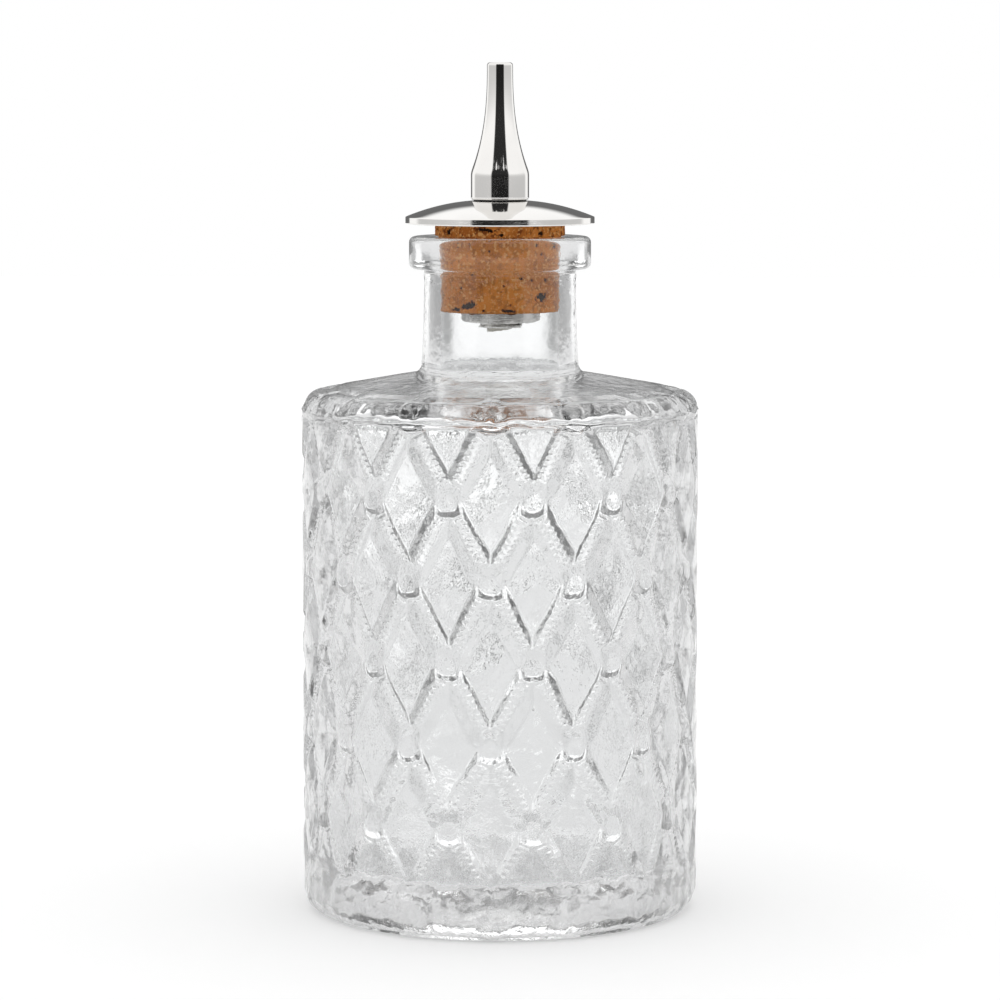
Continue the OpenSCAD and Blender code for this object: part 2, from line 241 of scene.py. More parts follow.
def bridge(low, high):
    """Faces between two rings of vertex numbers: equal rings, one twice as fine, or a single point."""
    a, b = len(low), len(high)
    if a == 1:
        return [(low[0], high[(i + 1) % b], high[i]) for i in range(b)]
    if b == 1:
        return [(low[i], low[(i + 1) % a], high[0]) for i in range(a)]
    if a == b:
        return [(low[i], low[(i + 1) % a], high[(i + 1) % b], high[i]) for i in range(a)]
    faces = []
    if a == 2 * b:
        for i in range(b):
            p, q, r = low[2 * i], low[2 * i + 1], low[(2 * i + 2) % a]
            s, t = high[i], high[(i + 1) % b]
            faces += [(p, q, s), (q, t, s), (q, r, t)]
    elif b == 2 * a:
        for i in range(a):
            p, q, r = high[2 * i], high[2 * i + 1], high[(2 * i + 2) % b]
            s, t = low[i], low[(i + 1) % a]
            faces += [(s, q, p), (s, t, q), (t, r, q)]
    else:
        raise ValueError("rings that don't fit")
    return faces


def lathe(name, rings, closed=False):
    """A turned body from rings of (radii, heights, count), with numbers or an array of the ring's
    corners. Counts may halve or double from one ring to the next. closed joins last and first."""
    vertices, faces, numbers = [], [], []
    for radii, heights, count in rings:
        if count == 1:
            numbers.append([len(vertices)])
            vertices.append((0, 0, float(np.mean(heights))))
            continue
        turn = turns(count)
        r = np.broadcast_to(radii, count)
        z = np.broadcast_to(heights, count)
        numbers.append(list(range(len(vertices), len(vertices) + count)))
        vertices += np.stack([r * np.sin(turn), -r * np.cos(turn), z], axis=1).tolist()
    for low, high in zip(numbers[:-1], numbers[1:]):
        faces += bridge(low, high)
    if closed:
        faces += bridge(numbers[-1], numbers[0])
    return new_object(name, vertices, faces)


def turned(name, outline, count):
    """A ring-shaped body from a closed outline of (radius, height) points."""
    return lathe(name, [(r, z, count) for r, z in outline], closed=True)


def place(obj, body, node, sharp_degrees=38):
    """Makes a piece ride on its body and stand for its CAD node. Faces that
    meet at more than the angle get a sharp edge."""
    obj.data.set_sharp_from_angle(angle=math.radians(sharp_degrees))
    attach(obj, body)
    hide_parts(node)
    return obj


def hair_ticks(side, up):
    """Short fine ribs across the foot of the walls, longer on the lower side."""
    along = (np.abs(up) * DIAMOND_H - side * DIAMOND_W) / math.hypot(DIAMOND_W, DIAMOND_H)
    rib = smooth((np.cos(2 * math.pi * along / TICK_PITCH) - TICK_CUT) / TICK_SOFT)
    return rib * np.where(up < 0, TICK_LENGTH, TICK_UPPER * TICK_LENGTH)


def chain_height(across, up):
    """Height of one row of diamonds and bosses over the groove, from 0 to 1 and a little over.
    across is the distance from the nearest diamond's middle, up the height over the row's middle."""
    half = COLUMN_PITCH / 2
    slant = DIAMOND_W * DIAMOND_H / math.hypot(DIAMOND_W, DIAMOND_H)
    side = np.abs(across)
    in_diamond = (1 - side / DIAMOND_W - np.abs(up) / DIAMOND_H) * slant
    boss_h = np.where(up > 0, BOSS_UP, BOSS_DOWN)
    from_boss = ((np.abs(half - side) / BOSS_W) ** 3 + (np.abs(up) / boss_h) ** 3) ** (1 / 3)
    in_boss = (1 - from_boss) * BOSS_DOWN
    blend = np.clip(0.5 + (in_diamond - in_boss) / MERGE_W, 0, 1)
    inside = in_diamond * blend + in_boss * (1 - blend) + MERGE_FILL * blend * (1 - blend)
    foot = smooth((inside + TICKS_START[0]) / TICKS_START[1])
    foot = foot * (1 - smooth((inside + TICKS_END[0]) / TICKS_END[1]))
    inside = inside + hair_ticks(side, up) * foot
    wall = WALL_BELOW + (WALL_ABOVE - WALL_BELOW) * smooth(up / 2 + 0.5)
    crown = smooth(in_diamond / slant) * PILLOW / RELIEF
    return ramp(inside / wall, WALL_ROUND) + crown


def pattern_height(turn, z):
    """Height of the pattern over the groove at an angle round the bottle and a height."""
    warp_u = waved(1, turn, z, WARP_SLOW) + waved(2, turn, z, WARP_FINE)
    warp_z = waved(3, turn, z, WARP_SLOW) + waved(4, turn, z, WARP_FINE)
    u, z = turn * BODY_R + warp_u, z + warp_z
    height = np.zeros(np.broadcast(u, z).shape)
    for row in ROWS:
        shift = (row % 2) / 2
        across = (((u / COLUMN_PITCH - shift + 0.5) % 1) - 0.5) * COLUMN_PITCH
        height = np.maximum(height, chain_height(across, z - PATTERN_MID - row * ROW_PITCH))
    return height * RELIEF


def oval(across, up, half_w, half_h, rim):
    """1 inside an oval and 0 outside, over a rim of that width."""
    return smooth((1 - np.hypot(across / half_w, up / half_h)) * min(half_w, half_h) / rim + 0.5)


def band_height(turn, v):
    """Height of the knots and sunken panels round the shoulder's or the heel's corner.
    v is the distance along the outline from the middle of the knots."""
    across = (((turn * BODY_R / COLUMN_PITCH + 0.5) % 1) - 0.5) * COLUMN_PITCH
    side = COLUMN_PITCH / 2 - np.abs(across)
    knot = oval(across, v, KNOT_W, KNOT_H, KNOT_RIM)
    panel = ramp((PANEL_W - side) / PANEL_RIM, BAND_ROUND)
    panel = panel * ramp((PANEL_H - np.abs(v) + PANEL_FLARE * side) / PANEL_RIM, BAND_ROUND)
    return KNOT_RISE * knot - PANEL_DEPTH * panel


def band_place(r, z):
    """Distance along the outline from the middle of the shoulder's or the heel's knots."""
    if z > EDGE_CZ and r > BODY_R - EDGE_R - 0.1:
        return EDGE_R * math.atan2(z - EDGE_CZ, r - (BODY_R - EDGE_R)) - KNOTS_OVER_RIB
    if z > PATTERN_MID:
        return z - EDGE_CZ - KNOTS_OVER_RIB
    if z < HEEL_R:
        return HEEL_R * math.atan2(z - HEEL_R, max(r - (BODY_R - HEEL_R), 0)) + KNOTS_UNDER_HEEL
    return z - HEEL_R + KNOTS_UNDER_HEEL


def outer_outline():
    """Outline of the glass from the axis under the base to the lip, in its three stretches: under
    the base, the finely cut side and the top."""
    fillet_cr = NECK_FOOT_R + NECK_FILLET
    side_rings = round((PATTERN_HIGH - PATTERN_LOW) / RING_PITCH) + 32
    under = [(FOOT_IN * t, PUSH_UP * (1 - t * t)) for t in np.linspace(0, 1, 13)]
    heel = arc(BODY_R - HEEL_R, HEEL_R, HEEL_R, -90, 0, 26)
    side = [(BODY_R, z) for z in np.linspace(HEEL_R, EDGE_CZ, side_rings)[1:-1]]
    corner = arc(BODY_R - EDGE_R, EDGE_CZ, EDGE_R, 0, 90 - SLOPE, 30)
    fillet = arc(fillet_cr, NECK_FOOT_Z + NECK_FILLET, NECK_FILLET, 270 - SLOPE, 184, 10)
    run = straight(corner[-1], fillet[0], 22)
    neck_low = NECK_FOOT_Z + NECK_FILLET
    neck = [(NECK_R + (NECK_FOOT_R - NECK_R) * (1 - t) ** 2, neck_low + (COLLAR_Z - neck_low) * t)
            for t in np.linspace(0, 1, 21)[1:]]
    collar = arc(COLLAR_R - COLLAR_EDGE, COLLAR_Z + COLLAR_EDGE, COLLAR_EDGE, -90, 0, 8)
    collar += arc(COLLAR_R - COLLAR_EDGE, BOTTLE_H - COLLAR_EDGE, COLLAR_EDGE, 0, 90, 8)
    lip = arc(MOUTH_R + LIP_EDGE, BOTTLE_H - LIP_EDGE, LIP_EDGE, 90, 180, 6)
    return under, heel + side + corner, run + fillet + neck + collar + lip


def inner_outline():
    """Outline of the bore and the cavity, from the lip down to the middle of the floor."""
    tilt = math.radians(SLOPE)
    throat_cr, throat_z = BORE_R + THROAT_R, NECK_FOOT_Z - THROAT_DROP + THROAT_R
    roof_cr = CAVITY_R - ROOF_CORNER
    start_r = throat_cr - THROAT_R * math.sin(tilt)
    end_r = CAVITY_R - ROOF_CORNER * (1 - math.sin(tilt))
    drop = (end_r - start_r) * math.tan(tilt)
    roof_z = throat_z - (THROAT_R + ROOF_CORNER) * math.cos(tilt) - drop
    bore = [(BORE_R + (MOUTH_R - BORE_R) * t, COLLAR_Z + (BOTTLE_H - LIP_EDGE - COLLAR_Z) * t)
            for t in np.linspace(1, 0, 7)[1:]]
    bore += [(BORE_R, z) for z in np.linspace(COLLAR_Z, throat_z, 22)[1:-1]]
    throat = arc(throat_cr, throat_z, THROAT_R, 180, 270 - SLOPE, 10)
    corner = arc(roof_cr, roof_z, ROOF_CORNER, 90 - SLOPE, 0, 12)
    roof = straight(throat[-1], corner[0], 14)
    wall = [(CAVITY_R, z) for z in np.linspace(roof_z, FLOOR_Z + ROOF_CORNER, 60)[1:-1]]
    floor_corner = arc(roof_cr, FLOOR_Z + ROOF_CORNER, ROOF_CORNER, 0, -90, 12)
    floor = [(roof_cr * t, FLOOR_Z) for t in np.linspace(1, 0, 13)[1:]]
    return bore + throat + roof + corner + wall + floor_corner + floor


def inner_push(turn, r, z):
    """Waviness of the cavity, which fades towards the neck and the middle of the floor."""
    push = waved(11, turn, z, INNER_WAVES) + waved(12, turn, z, INNER_FINE_WAVES)
    return push * (smooth((NECK_FOOT_Z - 8 - z) / 10) * smooth(r / 14))


def base_push(turn, r):
    """Radial ribs and a slight waviness under the base."""
    ribs = 0.5 + 0.5 * np.cos(SUNBURST * turn + SUNBURST_SWAY * waves(14, turn, r, 9))
    ring = smooth((r - 7) / 5) * smooth((FOOT_IN - r) / 1.2)
    depth, size = BASE_WAVES
    wavy = depth * smooth(r / 14) * (waves(5, turn, r, size) - 1.5)
    return wavy - SUNBURST_DEPTH * ring * ribs


def heel_band(turn, r, z):
    """The heel's knots and panels, with shards between them."""
    shards = waved(8, turn, z * 0.4, SHARDS) + waved(9, turn, z * 0.6, FINE_SHARDS)
    return band_height(turn, band_place(r, z)) - HEEL_BAND_IN + shards * smooth((z - 0.3) / 1.5)


def shoulder_band(turn, r, z, ripple):
    """The shoulder's knots and panels, with the rib under them."""
    depth, size = SHOULDER_WAVES
    band = band_height(turn, band_place(r, z)) - SHOULDER_BAND_IN + depth * (waves(8, turn, z, size) - 1)
    from_rib = (z - PATTERN_HIGH - RIB_OUT - ripple) / RIB_HALF
    return band + RIB_RISE * np.exp(-(from_rib**2))


def outer_push(turn, r, z):
    """How far the outside of the glass stands in from its outline (negative), at one ring."""
    if z < 0.3 and r > FOOT_IN:
        return np.zeros(turn.shape)
    if r < FOOT_IN and z < PUSH_UP + 0.1:
        return base_push(turn, r)
    outwards = smooth((r - 16) / 10)
    depth, size = OUTER_WAVES
    swell = (depth * waves(5, turn, z, size) - depth) * outwards
    ripple = EDGE_WANDER * waves(7, turn, 0, 5)
    in_pattern = ramp((z - PATTERN_LOW - 2 * ripple) / FADE_LOW, BAND_ROUND)
    in_pattern = in_pattern * ramp((PATTERN_HIGH + ripple - z) / FADE_HIGH, BAND_ROUND)
    faint = FAINT_LOW + (1 - FAINT_LOW) * smooth((z - FAINT_TO) / FAINT_OVER)
    pattern = (pattern_height(turn, z) - RELIEF - PILLOW) * faint - UNDER_PATTERN
    if z < PATTERN_LOW + 2:
        band = heel_band(turn, r, z)
    elif z > PATTERN_HIGH - 1 and r > 26:
        band = shoulder_band(turn, r, z, ripple)
    else:
        band = -0.05 * outwards
    return np.minimum(pattern * in_pattern + band * (1 - in_pattern) + swell, 0)


def glass_rings():
    """Every ring of the glass, pushed along the outline's normal by pattern, bands and waviness."""
    fine, coarse = COLUMNS * 60, COLUMNS * 30
    under, side, top = outer_outline()
    stretches = [(under, coarse), (side, fine), (top, coarse), (inner_outline(), coarse)]
    outline = [(r, z, count) for points, count in stretches for r, z in points]
    first_inner = len(under) + len(side) + len(top)
    along = np.gradient(np.array([(r, z) for r, z, _ in outline]), axis=0)
    normals = np.stack([along[:, 1], -along[:, 0]], axis=1)
    normals /= np.linalg.norm(normals, axis=1)[:, None]
    rings = []
    for i, (r, z, count) in enumerate(outline):
        if r < 1e-6:
            rings.append((0, z, 1))
            continue
        push_of = outer_push if i < first_inner else inner_push
        push = push_of(turns(count), r, z)
        rings.append((r + normals[i, 0] * push, z + normals[i, 1] * push, count))
    return rings


def make_bottle():
    """The glass of the bottle as one closed mesh, smooth all over."""
    bottle = lathe("bottle_glass", glass_rings())
    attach(bottle, "glass_body")
    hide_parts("bottle")
    return bottle


def thread_r(turn, z):
    """Radius of the threaded tube at an angle and a height: a helix that fades at both ends."""
    phase = (z / THREAD_PITCH - turn / (2 * math.pi)) % 1
    groove = 1 - np.abs(phase - 0.5) * 2
    fade = smooth((z - STEM_Z) / THREAD_FADE) * smooth((STEM_TOP - z) / THREAD_FADE)
    return STEM_R - THREAD_DEPTH * (smooth(groove * 1.25) * fade + 0.5 * (1 - fade))


def make_stem():
    """Threaded tube through cork and cap into the spout, with a bore for the liquid."""
    count = 96
    bevel_r, root_r = STEM_BORE_R + STEM_BEVEL, STEM_R - THREAD_DEPTH
    rings = [(STEM_BORE_R, STEM_Z + STEM_BEVEL, count), (bevel_r, STEM_Z, count), (root_r, STEM_Z, count)]
    for z in np.linspace(STEM_Z + 0.06, STEM_TOP - 0.06, 270):
        rings.append((thread_r(turns(count), z), z, count))
    rings += [(root_r, STEM_TOP, count), (bevel_r, STEM_TOP, count)]
    rings.append((STEM_BORE_R, STEM_TOP - STEM_BEVEL, count))
    return place(lathe("threaded_stem", rings, closed=True), "cap_body", "stem_tube")


def make_nut():
    """Six-sided nut with its corners turned off at top and bottom and a countersunk hole."""
    count = 360
    from_corner = (np.degrees(turns(count)) - NUT_TURN) % 60
    hexagon = NUT_FLAT_R / np.cos(np.radians(30 - from_corner))
    middle, half = (NUT_Z + NUT_TOP) / 2, (NUT_TOP - NUT_Z) / 2
    # From the hole out: a radius and the share of the half height it stands at
    steps = [(STEM_HOLE_R, 0.7), (STEM_HOLE_R, 0.85), (STEM_HOLE_R + NUT_HOLE_BEVEL, 1)]
    steps.append((NUT_FLAT_R - 0.2, 1))
    steps += [(NUT_FLAT_R + 0.02 + 0.115 * i, 1 - 0.055 * i) for i in range(8)]
    steps.append((math.inf, 0.5))
    low = [(np.minimum(hexagon, r), middle - half * share, count) for r, share in steps]
    high = [(np.minimum(hexagon, r), middle + half * share, count) for r, share in steps]
    rings = low + high[::-1]
    return place(lathe("clamp_nut", rings, closed=True), "cap_body", "hex_nut", 20)


def make_insert():
    """Plastic restrictor: a plug in the tube and a slanted nose with a small bore below it."""
    count = 64
    slant = NOSE_SLANT * (1 + np.sin(turns(count))) / 2
    foot = INSERT_Z + slant
    plug_z = STEM_Z + INSERT_GAP
    rings = [(DASH_R, foot + INSERT_EDGE, count), (DASH_R + INSERT_EDGE, foot, count)]
    rounded = arc(NOSE_R - INSERT_ROUND, INSERT_ROUND, INSERT_ROUND, -90, 0, 5)
    rings += [(r, foot + dz, count) for r, dz in rounded]
    rings += [(NOSE_R, plug_z, count), (PLUG_R - INSERT_EDGE, plug_z, count)]
    rings += [(PLUG_R, plug_z + INSERT_EDGE, count), (PLUG_R, INSERT_TOP - INSERT_ROUND, count)]
    rings += [(PLUG_R - INSERT_ROUND, INSERT_TOP, count), (DASH_R + INSERT_ROUND, INSERT_TOP, count)]
    rings.append((DASH_R, INSERT_TOP - INSERT_ROUND, count))
    return place(lathe("dasher_insert", rings, closed=True), "cap_body", "dash_insert")


def make_seal():
    """Thin black seal with rounded edges between the spout and the cap."""
    half = (SEAL_TOP - SEAL_Z) / 2
    outline = [(STEM_HOLE_R, SEAL_TOP), (STEM_HOLE_R, SEAL_Z)]
    outline += arc(SEAL_R - half, SEAL_Z + half, half, -90, 90, 8)
    return place(turned("spout_gasket", outline, 128), "seal_body", "spout_seal")


def make_cap():
    """Polished disc: flat under the cork's edge, a thin upright rim and a low crown."""
    rim_top = CAP_Z + RIM_H
    start_r = CAP_R - RIM_EDGE / 2
    outline = [(STEM_HOLE_R, CAP_Z)]
    outline += [(r, CAP_Z) for r in np.linspace(STEM_HOLE_R, CAP_R - RIM_EDGE, 8)[1:-1]]
    outline += arc(CAP_R - RIM_EDGE, CAP_Z + RIM_EDGE, RIM_EDGE, -90, 0, 8)
    outline += [(CAP_R, z) for z in np.linspace(CAP_Z + RIM_EDGE, rim_top - RIM_EDGE, 9)[1:-1]]
    outline += arc(CAP_R - RIM_EDGE, rim_top - RIM_EDGE, RIM_EDGE, 0, 62, 6)
    crown = CAP_TOP - rim_top
    for t in np.linspace(0.02, 1, 44):
        height = crown * t * (1 + CROWN_BULGE * (1 - t))
        outline.append((start_r - (start_r - BARREL_R) * t, rim_top + height))
    outline.append((STEM_HOLE_R, CAP_TOP))
    return place(turned("cap_dome", outline, 256), "cap_body", "cap_disc", 50)


def smoothed(radii):
    """The radii averaged over their neighbours with rounded weights."""
    weights = np.hanning(2 * SHOULDER_ROUND + 3)
    weights = weights[1:-1] / weights.sum()
    return np.convolve(np.pad(radii, SHOULDER_ROUND, "edge"), weights, "valid")


def make_spout():
    """Hollow spout: a barrel that widens a little from its foot, a long sweep and a rolled tip."""
    barrel_top, widest_z = SPOUT_Z + BARREL_H, SPOUT_Z + BARREL_H * SWELL_SHARE
    sweep = SPOUT_TOP - barrel_top
    foot_r = BARREL_R - BARREL_TAPER
    outline = [(STEM_HOLE_R, SPOUT_Z + 0.1), (STEM_HOLE_R + 0.1, SPOUT_Z)]
    outline += arc(foot_r - BARREL_EDGE, SPOUT_Z + BARREL_EDGE, BARREL_EDGE, -90, 0, 4)
    for t in np.linspace(0.1, 1, 12):
        outline.append((BARREL_R - BARREL_TAPER * (1 - t) ** 3, SPOUT_Z + BARREL_H * SWELL_SHARE * t))
    heights = np.arange(widest_z + SPOUT_STEP, SPOUT_TOP - TIP_EDGE, SPOUT_STEP)
    share = np.clip((heights - barrel_top) / sweep, 0, 1)
    radii = smoothed(TIP_R + (BARREL_R - TIP_R) * (1 - share) ** SWEEP_POWER)
    outline += [(min(r, BARREL_R), z) for r, z in zip(radii.tolist(), heights.tolist())][::2]
    outline += arc(TIP_R - TIP_EDGE, SPOUT_TOP - TIP_EDGE, TIP_EDGE, 0, 90, 8)
    outline += arc(OUTLET_R + TIP_EDGE / 2, SPOUT_TOP - TIP_EDGE / 2, TIP_EDGE / 2, 90, 180, 5)
    thread_z = STEM_TOP + 0.05
    outline += [(OUTLET_R, barrel_top + sweep / 2), (STEM_BORE_R, thread_z + 1), (STEM_BORE_R, thread_z)]
    outline.append((STEM_HOLE_R, thread_z))
    return place(turned("pour_spout", outline, 192), "spout_body", "spout", 50)


def cork_outline():
    """Outline of the cork: bevelled end, straight body, taper of the lip and the wider head."""
    throat_r, lip_r = BORE_R - CORK_GAP, MOUTH_R - CORK_GAP
    foot_z, head_z, top_z = CORK_Z + CORK_END_GAP, BOTTLE_H + SEAT_GAP, CORK_TOP - CORK_END_GAP
    bevel_z = foot_z + CORK_BEVEL
    points = [(STEM_HOLE_R, foot_z)]
    points += [(r, foot_z) for r in np.linspace(STEM_HOLE_R, throat_r - 0.5, 26)[1:]]
    points += arc(throat_r - CORK_BEVEL, bevel_z, CORK_BEVEL, -80, 0, 6)
    points += [(throat_r, z) for z in np.linspace(bevel_z, COLLAR_Z, 56)[1:]]
    points += [(throat_r + (lip_r - throat_r) * t, COLLAR_Z + (BOTTLE_H - LIP_EDGE - COLLAR_Z) * t)
               for t in np.linspace(0, 1, 34)[1:]]
    points += [(lip_r, BOTTLE_H), (lip_r, head_z), (CORK_HEAD_R - CORK_EDGE, head_z)]
    points += [(CORK_HEAD_R, z) for z in np.linspace(head_z + CORK_EDGE, top_z, 16)]
    points += [(r, top_z) for r in np.linspace(CORK_HEAD_R, STEM_HOLE_R, 20)[1:]]
    return points


def cork_pits():
    """Where the cork's pits lie: degrees from the front, height, half width, half height, slant."""
    rng = np.random.default_rng(21)
    pits = list(FRONT_PITS)
    for _ in range(SMALL_PITS):
        size = rng.uniform(0.25, 1.0) ** 1.5 + 0.12
        turn, z = rng.uniform(70, 300), rng.uniform(CORK_Z + 0.2, CORK_TOP)
        pits.append((turn, z, size, size * rng.uniform(0.4, 0.9), rng.uniform(-0.6, 0.6)))
    for _ in range(SPECK_PITS):
        size = rng.uniform(0.08, 0.28)
        pits.append((rng.uniform(0, 360), rng.uniform(CORK_Z, CORK_TOP), size, size, 0))
    return pits


def pit_depth(turn, z, pits):
    """How deep the pits are at angles and a height, from 0 to 1."""
    ragged = waved(31, turn, z, (0.28, 1.1)) + waved(32, turn, z, (0.22, 0.45))
    depth = np.zeros(turn.shape)
    for angle, height, half_w, half_h, slant in pits:
        if abs(z - height) > half_h * 2 + 0.6:
            continue
        across = ((turn - math.radians(angle) + math.pi) % (2 * math.pi) - math.pi) * BORE_R
        up = z - height - slant * across
        inside = 1 - np.hypot(across / half_w, up / half_h)
        depth = np.maximum(depth, smooth((inside + ragged) * 2.2 + 0.2))
    return depth


def cork_ring(place_on, step, turn, pits):
    """One ring of the cork's skin and how deep its pits are there."""
    (r, z), (dr, dz) = place_on, step
    length = math.hypot(dr, dz)
    on_side, at_end = r > BORE_R - 0.6, abs(dz) < 0.2 * length
    depth = pit_depth(turn, z, pits) if on_side else np.zeros(turn.shape)
    rough = CORK_ROUGH * (0.6 * waves(33, turn, z, 1.4) + 0.6 * waves(34, turn, z, 0.6) - 1.1)
    push = np.minimum(rough, 0) - PIT_DEPTH * depth
    if r <= STEM_HOLE_R + 0.1:
        push = 0 * push
    rise = -dr / length * push
    if (at_end and z > BOTTLE_H) or not (on_side or at_end):
        rise = 0
    return (r + dz / length * push, z + rise, len(turn)), depth


def make_cork():
    """Natural cork with pits and a rough skin; where the pits lie is kept for its material."""
    turn, pits, outline = turns(420), cork_pits(), cork_outline()
    along = np.gradient(np.array(outline), axis=0)
    rings, depths = zip(*[cork_ring(point, step, turn, pits) for point, step in zip(outline, along)])
    cork = lathe("cork_stopper", rings, closed=True)
    pit = cork.data.attributes.new("pit", "FLOAT", "POINT")
    pit.data.foreach_set("value", np.concatenate(depths))
    return place(cork, "cork_body", "cork", 60)


class Nodes:
    """A node tree, with short ways to add, link and combine nodes."""

    def __init__(self, tree):
        self.tree = tree
        tree.nodes.clear()

    def add(self, kind, **values):
        node = self.tree.nodes.new(kind)
        for name, value in values.items():
            setattr(node, name, value)
        return node

    def link(self, source, target):
        self.tree.links.new(source, target)

    def put(self, value, socket):
        """Gives a socket its value: another node's output, or a plain value."""
        if isinstance(value, bpy.types.NodeSocket):
            self.link(value, socket)
        else:
            socket.default_value = value

    def math(self, operation, *values):
        """The result of a Math node."""
        node = self.add("ShaderNodeMath", operation=operation)
        for value, socket in zip(values, node.inputs):
            self.put(value, socket)
        return node.outputs[0]

    def vector_math(self, operation, vector, fixed=(0, 0, 0)):
        """The result of a Vector Math node: a number for a length or a dot product."""
        node = self.add("ShaderNodeVectorMath", operation=operation)
        self.link(vector, node.inputs[0])
        node.inputs[1].default_value = fixed
        return node.outputs["Value" if operation in ("LENGTH", "DOT_PRODUCT") else "Vector"]


def new_material(name):
    """A material, its nodes and its one shader."""
    material = bpy.data.materials.new(name)
    material.use_nodes = True
    nodes = Nodes(material.node_tree)
    out = nodes.add("ShaderNodeOutputMaterial")
    shader = nodes.add("ShaderNodeBsdfPrincipled")
    nodes.link(shader.outputs[0], out.inputs[0])
    return material, nodes, shader


def give(obj, material):
    """Sets the object's only material."""
    obj.data.materials.clear()
    obj.data.materials.append(material)


def times(nodes, first, *others):
    """The product of some values."""
    for other in others:
        first = nodes.math("MULTIPLY", first, other)
    return first


def less(nodes, value, share, amount):
    """The value, darkened by amount where share is 1."""
    return times(nodes, value, nodes.math("MULTIPLY_ADD", share, -amount, 1))


def between(nodes, value, low, high, to_low=0.0, to_high=1.0):
    """The value spread smoothly over a range: to_low at or below low, to_high at or above high."""
    spread = nodes.add("ShaderNodeMapRange", interpolation_type="SMOOTHSTEP")
    for name, number in (("From Min", low), ("From Max", high), ("To Min", to_low), ("To Max", to_high)):
        spread.inputs[name].default_value = number
    nodes.link(value, spread.inputs["Value"])
    return spread.outputs[0]


def noise(nodes, scale, detail, source, stretch=(1, 1, 1)):
    """Noise from 0 to 1 over the source's coordinates, with lumps of about 1 / scale."""
    mapping = nodes.add("ShaderNodeMapping")
    mapping.inputs["Scale"].default_value = stretch
    nodes.link(source, mapping.inputs["Vector"])
    texture = nodes.add("ShaderNodeTexNoise")
    texture.inputs["Scale"].default_value = scale
    texture.inputs["Detail"].default_value = detail
    nodes.link(mapping.outputs[0], texture.inputs["Vector"])
    return texture.outputs["Fac"]


def blend_colours(nodes, share, first, second):
    """Mix of two colours, each a link or an (r, g, b)."""
    mix = nodes.add("ShaderNodeMix", data_type="RGBA")
    nodes.link(share, mix.inputs["Factor"])
    for socket, colour in ((mix.inputs[6], first), (mix.inputs[7], second)):
        nodes.put((*colour, 1) if isinstance(colour, tuple) else colour, socket)
    return mix.outputs[2]


def blend_values(nodes, share, first, second):
    """Mix of two numbers, each a link or a plain number."""
    mix = nodes.add("ShaderNodeMix", data_type="FLOAT")
    for number, value in ((0, share), (2, first), (3, second)):
        nodes.put(value, mix.inputs[number])
    return mix.outputs[0]


def add_bump(nodes, shader, height, strength, distance):
    """Bump on a shader; the distance is in metres."""
    bump = nodes.add("ShaderNodeBump")
    bump.inputs["Strength"].default_value = strength
    bump.inputs["Distance"].default_value = distance
    nodes.link(height, bump.inputs["Height"])
    nodes.link(bump.outputs[0], shader.inputs["Normal"])


def object_place(nodes):
    """The place in the object's own coordinates."""
    return nodes.add("ShaderNodeTexCoord").outputs["Object"]


def height_of(nodes, place_in):
    """The upright part of a place or a direction."""
    split = nodes.add("ShaderNodeSeparateXYZ")
    nodes.link(place_in, split.inputs[0])
    return split.outputs["Z"]


def clear_glass():
    """Pressed glass with a faint grey tint and fine crinkles, fewer on the shoulder and more at the
    heel."""
    material, nodes, shader = new_material("clear_glass")
    shader.inputs["Base Color"].default_value = GLASS_TINT
    shader.inputs["Roughness"].default_value = 0.0
    shader.inputs["IOR"].default_value = GLASS_IOR
    shader.inputs["Transmission Weight"].default_value = 1.0
    place_in = object_place(nodes)
    height = height_of(nodes, place_in)
    crinkles = times(nodes, noise(nodes, 520, 4, place_in), between(nodes, height, *CRINKLES_FADE),
                     between(nodes, height, *CRINKLES_GROW))
    add_bump(nodes, shader, crinkles, 0.32, 0.0004)
    return material


def natural_cork():
    """Orange-tan cork with darker grains, pale specks and dark brown pits. Inside the glass it is
    painted lighter and less flecked than its bare head: painted light for how it shows through
    the glass, which it keeps when pulled out."""
    material, nodes, shader = new_material("natural_cork")
    place_in = object_place(nodes)
    height = height_of(nodes, place_in)
    cloud = noise(nodes, 200, 4, place_in)
    grain = noise(nodes, 1300, 4, place_in, (1, 1, 0.8))
    speck = noise(nodes, 2200, 2, place_in)
    colour = blend_colours(nodes, between(nodes, cloud, 0.44, 0.56), CORK_DARK, CORK_TAN)
    # Painted light: below where it leaves the glass the cork is painted lighter and its flecks fainter
    painted_light_in_glass = between(nodes, height, *CORK_LEAVES, CORK_PAINTED_LIGHT_SHARE, 0)
    colour = blend_colours(nodes, painted_light_in_glass, colour, CORK_PAINTED_LIGHT_COLOUR)
    flecks = times(nodes, between(nodes, grain, 0.5, 0.62),
                   between(nodes, height, *CORK_LEAVES, CORK_FLECKED, 1))
    colour = blend_colours(nodes, flecks, colour, CORK_BROWN)
    colour = blend_colours(nodes, between(nodes, speck, 0.54, 0.64, 0, 0.9), colour, CORK_PALE)
    pit = nodes.add("ShaderNodeAttribute", attribute_name="pit")
    colour = blend_colours(nodes, between(nodes, pit.outputs["Fac"], 0.25, 0.85), colour, CORK_PIT)
    nodes.link(colour, shader.inputs["Base Color"])
    nodes.link(between(nodes, cloud, 0.3, 0.7, 0.78, 0.95), shader.inputs["Roughness"])
    shader.inputs["Specular IOR Level"].default_value = 0.2
    add_bump(nodes, shader, grain, 0.5, 0.0002)
    return material


def clouded(name, scale, detail, colours, edges, roughness):
    """A material whose colour and roughness vary with a soft cloud. edges are the cloud's values
    between which the colour goes from the first to the second."""
    material, nodes, shader = new_material(name)
    cloud = noise(nodes, scale, detail, object_place(nodes))
    nodes.link(blend_colours(nodes, between(nodes, cloud, *edges), *colours), shader.inputs["Base Color"])
    nodes.link(between(nodes, cloud, 0.3, 0.7, *roughness), shader.inputs["Roughness"])
    return material, nodes, shader


